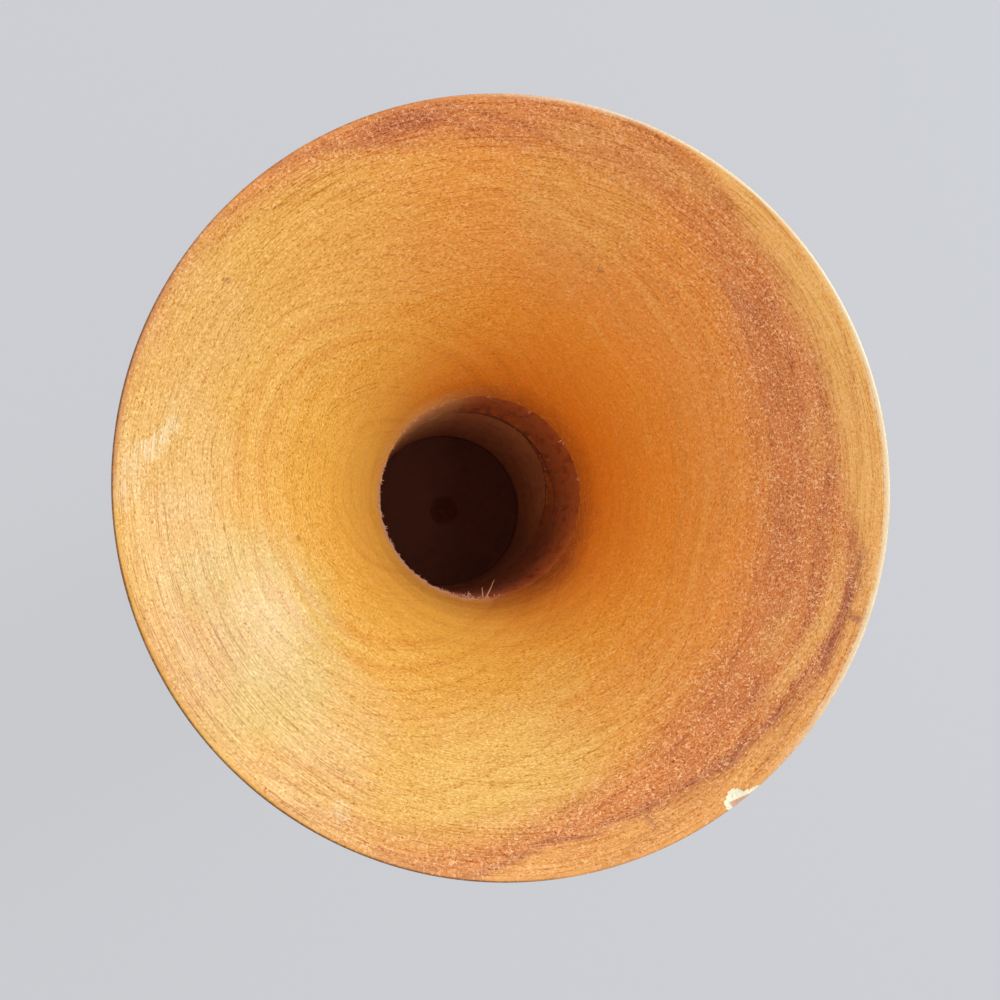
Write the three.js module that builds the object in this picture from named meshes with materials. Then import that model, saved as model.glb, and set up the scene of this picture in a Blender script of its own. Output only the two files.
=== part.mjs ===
// A turned wooden vase with a trumpet mouth, in millimetres, +Z up, with its origin in the middle of its
// underside. The flared bell is glued by its spigot into a socket in the body. A dowel joins the body to the
// turned foot, and a felt pad lines the underside. Nothing moves: the vase stands on its pad.
import * as THREE from "three";

// How finely the round forms are divided, and how close two points are one
const facets = 48;
const curveSteps = 11;
const arcStep = Math.PI / 6;
const samePlace = 1e-6;

// The bore, drilled through the bell into the body once they are glued
const boreRadius = 20;

// Mouth bell: the lip, the flare inside it, its stretch of the bore and the spigot below
const mouthRadius = 60;
const lipFace = 1.4;
const lipRound = 0.4;
const lipSlope = THREE.MathUtils.degToRad(33);
const flareDepth = 47;
const flareLipPull = 25;
const flareThroatPull = 26;
const throatSlope = THREE.MathUtils.degToRad(72);
const bellBoreLength = 24;
const spigotWall = 5;
const spigotLength = 14;
const shoulderWidth = 4.5;
const backLipPull = 24;
const backNeckPull = 28;

// Body: its stretch of the bore, with the drill's spur mark in the floor, and the baluster outside
const bodyHeight = 121;
const bodyBoreDepth = 48;
const spurRadius = 3.8;
const spurDepth = 5;
const neckBeadRadius = 2.6;
const bellyRadius = 39;
const bellyHeight = 55;
const bellyPull = 25;
const neckPull = 30;
const ankleRadius = 23.5;
const anklePull = 17;
const bodySeatRadius = 25;
const seatBeadRadius = 2.8;

// Foot, from the ring that carries the body to the bead at the floor
const footRadius = 43;
const footHeight = 20;
const footBeadRadius = 4.5;
const footStep = 1.6;
const footSeatMargin = 2.2;
const footSeatEdge = 1.2;
const covePull = 8;

// Dowel between body and foot, with its grooves for the glue
const dowelRadius = 5;
const dowelLength = 34;
const dowelInFoot = 14;
const dowelGrooves = 12;
const dowelGrooveShare = 0.5;
const dowelGrooveDepth = 0.4;
const dowelChamfer = 1;

// Felt pad
const feltInset = 2.5;
const feltThickness = 2;
const feltEdge = 0.5;

// Glue joints: the gap round a spigot or dowel, the spare depth at its end, and the vee that hides the joint
// outside
const glueGap = 0.3;
const glueRoom = 0.5;
const jointVee = 0.8;

// Heights, from the floor up
const footBottom = feltThickness;
const footTop = footBottom + footHeight;
const shoulder = footTop + bodyHeight;
const spigotEnd = shoulder - spigotLength;
const socketFloor = spigotEnd - glueRoom;
const boreFloor = spigotEnd - bodyBoreDepth;
const throat = spigotEnd + bellBoreLength;
const rim = throat + flareDepth;
const dowelBottom = footTop - dowelInFoot;
const dowelTop = dowelBottom + dowelLength;

// Radii that follow from the fits
const spigotRadius = boreRadius + spigotWall;
const socketRadius = spigotRadius + glueGap;
const neckRadius = spigotRadius + shoulderWidth;
const dowelHoleRadius = dowelRadius + glueGap;
const footSeatRadius = bodySeatRadius + seatBeadRadius + footSeatMargin;
const feltRadius = footRadius - footBeadRadius + feltInset;

const wood = new THREE.MeshStandardMaterial({ color: 0xd89a4e, roughness: 0.45, metalness: 0 });
const dowelWood = new THREE.MeshStandardMaterial({ color: 0xd9bd8f, roughness: 0.7, metalness: 0 });
const felt = new THREE.MeshStandardMaterial({ color: 0x3b3028, roughness: 1, metalness: 0 });

// An outline is a path of radius and height, traced with the wood on its left.
// A straight stretch gives its two ends, an arc or a curve as many points as its shape needs.
function outlinePoints(outline) {
  const points = outline.curves.flatMap((curve) => {
    const sweep = curve.isEllipseCurve ? Math.abs(curve.aEndAngle - curve.aStartAngle) : 0;
    const bentSteps = curve.isEllipseCurve ? Math.ceil(sweep / arcStep) : curveSteps;
    return curve.getPoints(curve.isLineCurve ? 1 : bentSteps);
  });
  return points.filter((point, i) => i === 0 || point.distanceTo(points[i - 1]) > samePlace);
}

// A piece turned on the lathe: its outline goes round the Z axis.
function turned(name, outline, material) {
  const geometry = new THREE.LatheGeometry(outlinePoints(outline), facets);
  geometry.rotateX(Math.PI / 2);
  const piece = new THREE.Mesh(geometry, material);
  piece.name = name;
  return piece;
}

// The bell's lip is a narrow upright face, rounded over into the flare. Inside, the flare runs down to the
// edge of the bore; outside, its back sweeps down to the shoulder that sits on the body.
function mouthBell() {
  const along = new THREE.Vector2(Math.cos(lipSlope), Math.sin(lipSlope));
  const across = new THREE.Vector2(-along.y, along.x);
  const lip = new THREE.Vector2(mouthRadius - lipRound, rim - lipRound);
  const lipInside = lip.clone().addScaledVector(across, lipRound);
  const lipBack = new THREE.Vector2(mouthRadius, lip.y - lipFace);
  const insidePull = lipInside.clone().addScaledVector(along, -flareLipPull);
  const backPull = lipBack.clone().addScaledVector(along, -backLipPull);
  const throatPull = new THREE.Vector2(Math.cos(throatSlope), Math.sin(throatSlope))
    .multiplyScalar(flareThroatPull)
    .add(new THREE.Vector2(boreRadius, throat));
  const neckBase = shoulder + jointVee;

  const outline = new THREE.Path()
    .moveTo(boreRadius, spigotEnd)
    .lineTo(spigotRadius, spigotEnd)
    .lineTo(spigotRadius, shoulder)
    .lineTo(neckRadius - jointVee, shoulder)
    .lineTo(neckRadius, neckBase)
    .bezierCurveTo(neckRadius, neckBase + backNeckPull, backPull.x, backPull.y, lipBack.x, lipBack.y)
    .lineTo(mouthRadius, lip.y)
    .absarc(lip.x, lip.y, lipRound, 0, lipSlope + Math.PI / 2, false)
    .bezierCurveTo(insidePull.x, insidePull.y, throatPull.x, throatPull.y, boreRadius, throat)
    .lineTo(boreRadius, spigotEnd);
  return turned("mouth_bell", outline, wood);
}

// The body swells from the ankle to the belly and narrows to a bead under the joint. Its bore ends on a flat
// floor with the cone that the drill's spur left, and the dowel's hole comes up from below.
function body() {
  const seatBead = footTop + seatBeadRadius;
  const ankle = seatBead + seatBeadRadius;
  const belly = footTop + bellyHeight;
  const neckBead = shoulder - jointVee - neckBeadRadius;
  const neckBeadFoot = neckBead - neckBeadRadius;
  const neckBeadCore = neckRadius - jointVee;

  const outline = new THREE.Path()
    .moveTo(0, dowelTop + glueRoom)
    .lineTo(dowelHoleRadius, dowelTop + glueRoom)
    .lineTo(dowelHoleRadius, footTop)
    .lineTo(bodySeatRadius, footTop)
    .absarc(bodySeatRadius, seatBead, seatBeadRadius, -Math.PI / 2, Math.PI / 2, false)
    .lineTo(ankleRadius, ankle)
    .bezierCurveTo(ankleRadius, ankle + anklePull, bellyRadius, belly - bellyPull, bellyRadius, belly)
    .bezierCurveTo(
      bellyRadius,
      belly + bellyPull,
      neckBeadCore,
      neckBeadFoot - neckPull,
      neckBeadCore,
      neckBeadFoot,
    )
    .absarc(neckBeadCore, neckBead, neckBeadRadius, -Math.PI / 2, Math.PI / 2, false)
    .lineTo(neckBeadCore, shoulder)
    .lineTo(socketRadius, shoulder)
    .lineTo(socketRadius, socketFloor)
    .lineTo(boreRadius, socketFloor)
    .lineTo(boreRadius, boreFloor)
    .lineTo(spurRadius, boreFloor)
    .lineTo(0, boreFloor - spurDepth);
  return turned("body", outline, wood);
}

// The foot spreads in a cove from the ring under the body to a half-round bead at the floor.
function foot() {
  const beadCore = footRadius - footBeadRadius;
  const beadMiddle = footBottom + footBeadRadius;
  const beadTop = beadMiddle + footBeadRadius;
  const coveFoot = beadCore - footStep;
  const coveTop = footTop - footSeatEdge;

  const outline = new THREE.Path()
    .moveTo(0, footBottom)
    .lineTo(beadCore, footBottom)
    .absarc(beadCore, beadMiddle, footBeadRadius, -Math.PI / 2, Math.PI / 2, false)
    .lineTo(coveFoot, beadTop)
    .bezierCurveTo(coveFoot - covePull, beadTop, footSeatRadius, coveTop - covePull, footSeatRadius, coveTop)
    .lineTo(footSeatRadius - footSeatEdge, footTop)
    .lineTo(dowelHoleRadius, footTop)
    .lineTo(dowelHoleRadius, dowelBottom - glueRoom)
    .lineTo(0, dowelBottom - glueRoom);
  return turned("foot", outline, wood);
}

// A grooved dowel: a round rod with chamfered ends, and glue grooves that take up a share of its girth.
function footDowel() {
  const grooveStart = 1 - dowelGrooveShare;
  const grooveMiddle = 1 - dowelGrooveShare / 2;
  const corners = [];
  for (let i = 0; i < dowelGrooves; i += 1) {
    for (const [share, depth] of [[0, 0], [grooveStart, 0], [grooveMiddle, dowelGrooveDepth]]) {
      const angle = ((i + share) / dowelGrooves) * 2 * Math.PI;
      const radius = dowelRadius - depth;
      corners.push(new THREE.Vector2(Math.cos(angle) * radius, Math.sin(angle) * radius));
    }
  }
  const geometry = new THREE.ExtrudeGeometry(new THREE.Shape(corners), {
    depth: dowelLength - 2 * dowelChamfer,
    bevelThickness: dowelChamfer,
    bevelSize: dowelChamfer,
    bevelOffset: -dowelChamfer,
    bevelSegments: 1,
  });
  const piece = new THREE.Mesh(geometry, dowelWood);
  piece.name = "foot_dowel";
  piece.position.z = dowelBottom + dowelChamfer;
  return piece;
}

// A thick felt disc with a softened lower edge, glued under the foot.
function feltPad() {
  const outline = new THREE.Path()
    .moveTo(0, 0)
    .lineTo(feltRadius - feltEdge, 0)
    .lineTo(feltRadius, feltEdge)
    .lineTo(feltRadius, feltThickness)
    .lineTo(0, feltThickness);
  return turned("felt_pad", outline, felt);
}

const vase = new THREE.Group();
vase.add(mouthBell(), body(), foot(), footDowel(), feltPad());

export default vase;
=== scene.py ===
import math

import bmesh
import bpy
import numpy as np
from mathutils import Matrix, Vector


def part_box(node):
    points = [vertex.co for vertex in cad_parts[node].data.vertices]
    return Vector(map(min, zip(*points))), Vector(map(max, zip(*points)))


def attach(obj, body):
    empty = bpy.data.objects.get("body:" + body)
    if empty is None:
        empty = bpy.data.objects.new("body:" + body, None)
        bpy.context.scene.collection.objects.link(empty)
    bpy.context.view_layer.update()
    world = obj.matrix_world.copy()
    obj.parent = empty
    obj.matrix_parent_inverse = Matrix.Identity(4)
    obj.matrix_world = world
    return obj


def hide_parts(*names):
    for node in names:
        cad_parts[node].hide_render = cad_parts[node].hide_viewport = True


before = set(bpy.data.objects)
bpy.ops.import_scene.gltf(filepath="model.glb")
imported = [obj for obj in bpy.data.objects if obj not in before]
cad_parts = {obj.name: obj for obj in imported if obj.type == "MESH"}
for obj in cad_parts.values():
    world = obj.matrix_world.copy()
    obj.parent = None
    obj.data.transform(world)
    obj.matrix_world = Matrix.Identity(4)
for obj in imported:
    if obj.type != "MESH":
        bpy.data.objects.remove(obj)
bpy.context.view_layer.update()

mm = 0.001

# The camera, from the middle of the rim: x to the right of the picture, y up it, z out of the mouth
eye_from_rim = Vector((-28.0, -10.5, 148.9)) * mm
aim_from_rim = Vector((-3.9, -3.0, 0.0)) * mm
lens_length = 36.0
sensor_width = 36.0

# How outlines are read, and how far their edges are eased: less where drilled, and by no more than a share
# of the chords that meet there
same_place = 1e-6
sharp_turn = math.radians(35)
straight_chord = 9 * mm
eased_edge = 0.3 * mm
drilled_edge = 0.05 * mm
edge_share = 0.4

# How finely the turned pieces are divided, along the outline and round the axis
flare_step = 0.34 * mm
shown_step = 0.9 * mm
hidden_step = 2.2 * mm
felt_step = 0.8 * mm
turns = 256
fine_turn = math.radians(0.16)
even_angles = np.arange(turns) / turns * 2 * math.pi - math.pi

# How far off a surface a point counts as on it, and how near an end as at it
on_surface = 0.05 * mm
near_end = 1 * mm

# The tool's marks: the distance between ridges and how high they stand
mark_sets = [(1.3 * mm, 0.010 * mm), (2.3 * mm, 0.014 * mm), (5.2 * mm, 0.03 * mm)]

# How rough the bore and the throat's torn edge are, and how far from the throat and the bore they reach
bore_rough = 0.05 * mm
bore_lead = 0.2 * mm
throat_rough = 0.09 * mm
throat_reach = 0.7 * mm
bare_reach = 0.12 * mm

# How long the felt's nap is, and how far below its glued face it starts
felt_nap = 0.06 * mm
felt_glued = 0.1 * mm

# How wide the growth bands and the thin lines between them are
band_width = 1.9 * mm
line_width = 1.2 * mm

# How a display brightens colours, and how much more a step of red, green and blue takes under the gloss
display_gamma = 2.2
under_gloss = (0.95, 1.15, 1.45)

# How strongly the fine grain shows on the outside, the bell's pith and the lamp's side, where shade is
# painted warmer
quiet = 0.75
bell_pith = (-14 * mm, 0)
lamp_side = math.radians(25)

# Colours of the lacquered wood
# Cream of scuffs and wear, and of the lip's painted highlight
cream_wear_and_highlight = (0.98, 0.87, 0.61)
worn_gold = (0.97, 0.60, 0.15)
sap_gold = (1.0, 0.51, 0.135)
gold = (0.83, 0.45, 0.087)
# Painted sheen where the low lamp reflects on the flare
sheen_gold = (0.72, 0.47, 0.10)
pale_gold = (0.94, 0.60, 0.17)
honey = (0.88, 0.43, 0.085)
# The next three are painted light and shade: gold glow deep on the flare's lit half, orange on its shaded
# half and at the bore's lit top, deep orange towards the throat
glow_gold = (1.0, 0.55, 0.085)
shading_orange = (0.90, 0.30, 0.026)
shade_deep_orange = (0.96, 0.25, 0.006)
amber = (0.72, 0.27, 0.035)
heart_red = (0.75, 0.245, 0.06)
heart_dark = (0.54, 0.15, 0.045)
streak_plum = (0.34, 0.08, 0.062)
pore_brown = (0.30, 0.085, 0.006)
# Pale flecks, partly painted glints
glint_fleck_peach = (1.0, 0.57, 0.26)
torn_pink = (0.80, 0.47, 0.30)
rubbed_brown = (0.98, 0.50, 0.15)
# Painted shade round the throat
throat_shade_brown = (0.30, 0.075, 0.02)
lip_red = (0.58, 0.19, 0.06)
# Painted shade on the lip's far side
lip_shade_brown = (0.16, 0.055, 0.02)

# Colours of the bare wood in the bore and of the dust on its floor, some of them painted shade and light
stain_light = (0.86, 0.235, 0.022)
stain_dark = (0.36, 0.07, 0.006)
bare_light = (0.88, 0.38, 0.13)
bare_dark = (0.56, 0.18, 0.05)
# Tan of frayed fibres, lightened as a painted sheen on the far wall
frayed_tan_and_sheen = (1.0, 0.60, 0.22)
singed_brown = (0.24, 0.07, 0.03)
drill_brown = (0.16, 0.04, 0.008)
# Brown of the glue line, also painted shade low in the bore
glue_and_shade_brown = (0.14, 0.03, 0.004)
seam_black = (0.03, 0.008, 0.003)
# Painted light: the floor paler on the side that the lamp lights
floor_lit_pale = (0.45, 0.19, 0.11)
dust_light = (0.22, 0.050, 0.016)
dust_dark = (0.10, 0.016, 0.006)
bore_sheen = (1.0, 0.55, 0.35)

# Colours of the chip, the torn fibres, the dowel and the felt
chip_cream = (1.0, 0.94, 0.68)
chip_fibre = (0.62, 0.36, 0.17)
chip_pink = (0.66, 0.33, 0.19)
fibre_light = (0.80, 0.50, 0.36)
fibre_dark = (0.58, 0.28, 0.16)
beech_pale = (0.72, 0.50, 0.27)
beech_tan = (0.60, 0.38, 0.19)
beech_fleck = (0.42, 0.23, 0.10)
felt_light = (0.085, 0.058, 0.040)
felt_dark = (0.028, 0.019, 0.013)

# Places on the part. The bore runs from its floor up to the throat, and its stain ends on a slanting line.
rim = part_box("mouth_bell")[1].z
spigot_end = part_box("mouth_bell")[0].z
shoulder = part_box("body")[1].z
foot_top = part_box("foot")[1].z
foot_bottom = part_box("foot")[0].z
mouth = Vector((0, 0, rim))
bore_radius = 20 * mm
throat = spigot_end + 24 * mm
bore_floor = spigot_end - 48 * mm
socket_radius = 25.5 * mm
seat_radius = 26 * mm
lip_radius = 59.9 * mm
stain_height = rim - 86.5 * mm
stain_side = math.radians(75)
stain_slope = 17.1 / 20


def smooth(x, start, end):
    t = np.clip((x - start) / (end - start), 0, 1)
    return t * t * (3 - 2 * t)


def unit(vectors):
    return vectors / np.linalg.norm(vectors, axis=1)[:, None]


def point_at(azimuth, radius, height):
    """The point at an azimuth in degrees, a radius and a height."""
    a = math.radians(azimuth)
    return Vector((math.cos(a) * radius, math.sin(a) * radius, height))


# Outlines of the turned pieces

def outline_of(node):
    """A turned node's outline in order, as points of radius and height, and whether it closes.

    It has the wood on its left, and is read where the facets' corners lie on the plane y = 0. It starts on
    the axis, or at its lowest point where it closes.
    """
    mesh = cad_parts[node].data
    corners = {
        v.index: (round(max(v.co.x, 0.0), 6), round(v.co.z, 6))
        for v in mesh.vertices
        if abs(v.co.y) < same_place and v.co.x > -same_place
    }
    links = {}
    for edge in mesh.edges:
        a, b = (corners.get(i) for i in edge.vertices)
        if a and b and a != b:
            links.setdefault(a, set()).add(b)
            links.setdefault(b, set()).add(a)
    ends = [p for p in links if len(links[p]) == 1]
    walk = [min(ends or links, key=lambda p: (p[1], p[0]))]
    while onward := [p for p in links[walk[-1]] if p not in walk]:
        walk.append(onward[0])
    points = np.array(walk)
    after = np.roll(points, -1, axis=0)
    wood_on_right = np.sum(points[:, 0] * after[:, 1] - after[:, 0] * points[:, 1]) < 0
    if wood_on_right:
        points = points[::-1] if ends else np.roll(points[::-1], 1, axis=0)
    return points, not ends


def filled_in(points, closed, step):
    """The outline with its edges eased and its curves filled in.

    The step comes from a function of the radius, the height and whether the outline rises there.
    """
    before = np.roll(points, 1, axis=0)
    after = np.roll(points, -1, axis=0)
    chord_in = np.linalg.norm(points - before, axis=1)
    chord_out = np.linalg.norm(after - points, axis=1)
    slope_in = unit(points - before)
    slope_out = unit(after - points)
    turn = np.arccos(np.clip(np.sum(slope_in * slope_out, axis=1), -1, 1))
    straight = np.maximum(chord_in, chord_out) > straight_chord
    corner = straight | (turn > sharp_turn)
    if not closed:
        corner[[0, -1]] = True
        turn[[0, -1]] = 0
    share_in = (chord_out / (chord_in + chord_out))[:, None]
    tangent = slope_in * share_in + slope_out * (1 - share_in)

    filled = []
    count = len(points)
    for i in range(count if closed else count - 1):
        j = (i + 1) % count
        start, end, length = points[i], points[j], chord_out[i]
        # An end at a corner has no bend of its own
        ahead = slope_out[i]
        first = ahead if corner[i] else tangent[i]
        last = ahead if corner[j] else tangent[j]
        leave = 1.5 * ahead - 0.5 * last if corner[i] else first
        arrive = 1.5 * ahead - 0.5 * first if corner[j] else last
        if turn[i] > sharp_turn:
            drilled = abs(start[0] - bore_radius) < same_place and abs(start[1] - spigot_end) < near_end
            most = edge_share * min(chord_in[i], length)
            reach = min(drilled_edge if drilled else eased_edge, most)
            for t in (0.0, 0.5, 1.0):
                bend = ahead * t * t - slope_in[i] * (1 - t) * (1 - t)
                filled.append(start + bend * reach)
        else:
            filled.append(start)
        steps = max(1, round(length / step(*((start + end) / 2), end[1] > start[1])))
        for t in np.arange(1, steps) / steps:
            bow = (t * (1 - t) ** 2 * leave - t * t * (1 - t) * arrive) * length
            filled.append(start + (end - start) * smooth(t, 0, 1) + bow)
    if not closed:
        filled.append(points[-1])
    return np.array(filled)


class Turned:
    """A turned piece before it becomes a mesh: its rings, their normals and the way along the outline."""

    def __init__(self, node, step):
        self.node = node
        points, closed = outline_of(node)
        rings = filled_in(points, closed, step)
        ahead = np.roll(rings, -1, axis=0) - rings
        behind = rings - np.roll(rings, 1, axis=0)
        if not closed:
            ahead[-1], behind[0] = behind[-1], ahead[0]
        along = unit(unit(ahead) + unit(behind))
        self.normals = np.stack([along[:, 1], -along[:, 0]], axis=1)
        self.way = np.concatenate([[0.0], np.cumsum(np.linalg.norm(ahead, axis=1))])
        self.radius, self.height = rings.T
        self.spans = len(rings) if closed else len(rings) - 1

    def marks(self, angles, seed):
        """How far the tool's ridges lift each point. They sway and fade round the piece."""
        chance = np.random.default_rng(seed)
        way = self.way[: len(self.radius), None]
        lift = np.zeros((len(self.radius), len(angles)))
        for pitch, height in mark_sets:
            phase, where, fade = chance.uniform(0, 2 * math.pi, 3)
            sway = 0.9 * np.sin(2 * angles + where) + 0.6 * np.sin(3 * angles + fade)
            strength = 0.6 + 0.4 * np.sin(angles + fade)
            lift += height * strength * np.sin(2 * math.pi * way / pitch + phase + sway)
        return lift

    def grid(self, lift):
        """Radius and height of each point, lifted off the outline along its normal."""
        radius = self.radius[:, None] + lift * self.normals[:, :1]
        height = self.height[:, None] + lift * self.normals[:, 1:]
        return radius, height

    def mesh(self, angles, radius, height, paints, bare):
        """The piece's mesh object. Spans of the outline that are bare take the second paint."""
        index = np.arange(radius.size).reshape(radius.shape)
        beside = np.roll(index, -1, axis=1)
        quads = np.stack([index, beside, np.roll(beside, -1, axis=0), np.roll(index, -1, axis=0)], axis=-1)
        u = np.append(angles, angles[0] + 2 * math.pi) / (2 * math.pi)
        v = self.way / self.way[self.spans]
        corners = np.empty((self.spans, len(angles), 4, 2), np.float32)
        corners[..., 0] = np.stack([u[:-1], u[1:], u[1:], u[:-1]], axis=-1)
        corners[..., [0, 1], 1] = v[: self.spans, None, None]
        corners[..., [2, 3], 1] = v[1 : self.spans + 1, None, None]

        mesh = bpy.data.meshes.new("vase_" + self.node)
        points = np.stack([radius * np.cos(angles), radius * np.sin(angles), height], axis=-1)
        mesh.from_pydata(points.reshape(-1, 3).tolist(), [], quads[: self.spans].reshape(-1, 4).tolist())
        mesh.uv_layers.new(name="OFBake").data.foreach_set("uv", corners.ravel())
        middles = [(ends + np.roll(ends, -1)) / 2 for ends in (self.radius, self.height)]
        inside = bare(*middles)[: self.spans]
        mesh.polygons.foreach_set("material_index", np.repeat(inside.astype(np.int32), len(angles)))
        mesh.shade_smooth()
        for paint in paints:
            mesh.materials.append(paint)
        joined = bmesh.new()
        joined.from_mesh(mesh)
        poles = [point for point in joined.verts if point.co.xy.length < same_place]
        bmesh.ops.remove_doubles(joined, verts=poles, dist=same_place)
        joined.to_mesh(mesh)
        joined.free()
        piece = vase_piece(mesh)
        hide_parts(self.node)
        return piece


def added(name, data):
    """A new object in the scene."""
    thing = bpy.data.objects.new(name, data)
    bpy.context.scene.collection.objects.link(thing)
    return thing


def vase_piece(mesh):
    """A piece of the vase, linked into the scene and attached to the root body."""
    piece = added(mesh.name, mesh)
    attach(piece, "root")
    return piece


# Materials

class Nodes:
    """A node tree in the making, with short ways to add to it."""

    def __init__(self, tree):
        self.tree = tree

    def add(self, kind, inputs=(), output=0, **settings):
        node = self.tree.nodes.new("ShaderNode" + kind)
        for setting, value in settings.items():
            setattr(node, setting, value)
        for socket, value in dict(inputs).items():
            self.put(node.inputs[socket], value)
        return node.outputs[output]

    def put(self, socket, value):
        if isinstance(value, bpy.types.NodeSocket):
            self.tree.links.new(value, socket)
        else:
            socket.default_value = (*value, 1) if socket.type == "RGBA" else value

    def math(self, operation, *values):
        return self.add("Math", enumerate(values), operation=operation)

    def show(self, output, share, lit, seen):
        """Send two shaders to an output node, the second by its share."""
        both = self.add("MixShader", {0: share, 1: lit, 2: seen})
        self.put(self.tree.nodes[output].inputs["Surface"], both)

    def backdrop_share(self):
        """1 for rays that see the backdrop, straight or by gloss or glass, and 0 for those that light."""
        rays = self.add("LightPath").node.outputs
        share = self.math("MAXIMUM", rays["Is Camera Ray"], rays["Is Glossy Ray"])
        return self.math("MAXIMUM", share, rays["Is Transmission Ray"])


class Paint(Nodes):
    """A material in the making."""

    def __init__(self, name):
        self.material = bpy.data.materials.new(name)
        self.material.use_nodes = True
        super().__init__(self.material.node_tree)
        self.shader = self.tree.nodes["Principled BSDF"]
        self.place = self.add("TexCoord", output="Object")
        self.x, self.y, self.z = self.add("SeparateXYZ", {0: self.place}).node.outputs
        self.radius = self.length(self.x, self.y)
        self.azimuth = self.math("ARCTAN2", self.y, self.x)

    def finish(self, **values):
        for name, value in values.items():
            self.put(self.shader.inputs[name.replace("_", " ")], value)
        return self.material

    def sum(self, first, *others):
        for value in others:
            first = self.math("ADD", first, value)
        return first

    def product(self, first, *others):
        for value in others:
            first = self.math("MULTIPLY", first, value)
        return first

    def minus(self, value, less):
        return self.math("SUBTRACT", value, less)

    def rest(self, share):
        """What a share leaves of 1."""
        return self.minus(1.0, share)

    def off(self, value, middle):
        """How far a value is from the middle, to either side."""
        return self.math("ABSOLUTE", self.minus(value, middle))

    def length(self, x, y):
        return self.math("SQRT", self.sum(self.product(x, x), self.product(y, y)))

    def towards(self, azimuth):
        """How far out a place lies in a direction from the axis."""
        return self.sum(self.product(self.x, math.cos(azimuth)), self.product(self.y, math.sin(azimuth)))

    def ramp(self, value, start, end, top=1.0, bottom=0.0):
        limits = {"Value": value, "From Min": start, "From Max": end, "To Min": bottom, "To Max": top}
        return self.add("MapRange", limits, interpolation_type="SMOOTHSTEP")

    def where(self, *limits):
        """The product of ramps: values, the millimetres between which they ramp, and top and bottom."""
        ramps = (self.ramp(value, start * mm, end * mm, *ends) for value, start, end, *ends in limits)
        return self.product(*ramps)

    def round_axis(self, points, low=0, high=1, scale=1):
        """A scaled value from low to high that follows points of azimuth in degrees and value."""
        turn = self.sum(self.product(self.azimuth, 0.5 / math.pi), 0.5)
        node = self.add("FloatCurve", {"Value": turn}).node
        curve = node.mapping.curves[0]
        level = [((azimuth + 180) / 360, (value - low) / (high - low)) for azimuth, value in points]
        while len(curve.points) < len(level):
            curve.points.new(0.5, 0.5)
        for point, place in zip(curve.points, level):
            point.location = place
        node.mapping.update()
        return self.sum(self.product(node.outputs[0], (high - low) * scale), low * scale)

    def vector(self, x, y, z):
        return self.add("CombineXYZ", {0: x, 1: y, 2: z})

    def stretch(self, place, scale):
        return self.add("VectorMath", {0: place, 1: scale}, operation="MULTIPLY")

    def noise(self, place, size, detail=2.0, curl=0.0):
        """Soft blotches of about that size, from 0 to 1, curled by a share of it."""
        inputs = {"Vector": place, "Scale": 1 / size, "Detail": detail, "Distortion": curl}
        return self.add("TexNoise", inputs)

    def wander(self, place, size, reach):
        """Blotches that run as far below zero as above it."""
        return self.product(self.minus(self.noise(place, size), 0.5), 2 * reach)

    def dots(self, place, spacing, radius, share):
        """Round dots scattered through space, and only that share of them."""
        cells = self.add("TexVoronoi", {"Vector": place, "Scale": 1 / spacing}).node
        inside = self.ramp(cells.outputs["Distance"], radius / spacing, 0.4 * radius / spacing)
        return self.product(inside, self.math("LESS_THAN", cells.outputs["Color"], share))

    def spot(self, centre, reach, ragged=0.0, top=1.0):
        """The top at a point, falling to 0 that far from it, with an edge that is ragged by a length."""
        distance = self.add("VectorMath", {0: self.place, 1: centre}, "Value", operation="DISTANCE")
        if ragged:
            distance = self.sum(distance, self.wander(self.place, reach / 2, ragged))
        return self.ramp(distance, reach, 0.5 * reach, top)

    def mix(self, share, under, over):
        return self.add("Mix", {0: share, 6: under, 7: over}, 2, data_type="RGBA")

    def layered(self, colour, *layers):
        """The colour with others over it, each by its share."""
        for share, over in layers:
            colour = self.mix(share, colour, over)
        return colour

    def shaded(self, colour, level):
        """The colour lighter or darker by a level, alike in red, green and blue as the eye sees them."""
        seen = self.add("Gamma", {"Color": colour, "Gamma": 1 / display_gamma})
        lift = self.stretch(self.vector(level, level, level), under_gloss)
        both = {0: 1.0, 6: seen, 7: lift}
        lifted = self.add("Mix", both, 2, data_type="RGBA", blend_type="ADD", clamp_result=True)
        return self.add("Gamma", {"Color": lifted, "Gamma": display_gamma})

    def bump(self, height, depth, strength=1.0):
        return self.add("Bump", {"Height": height, "Distance": depth, "Strength": strength})


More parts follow.
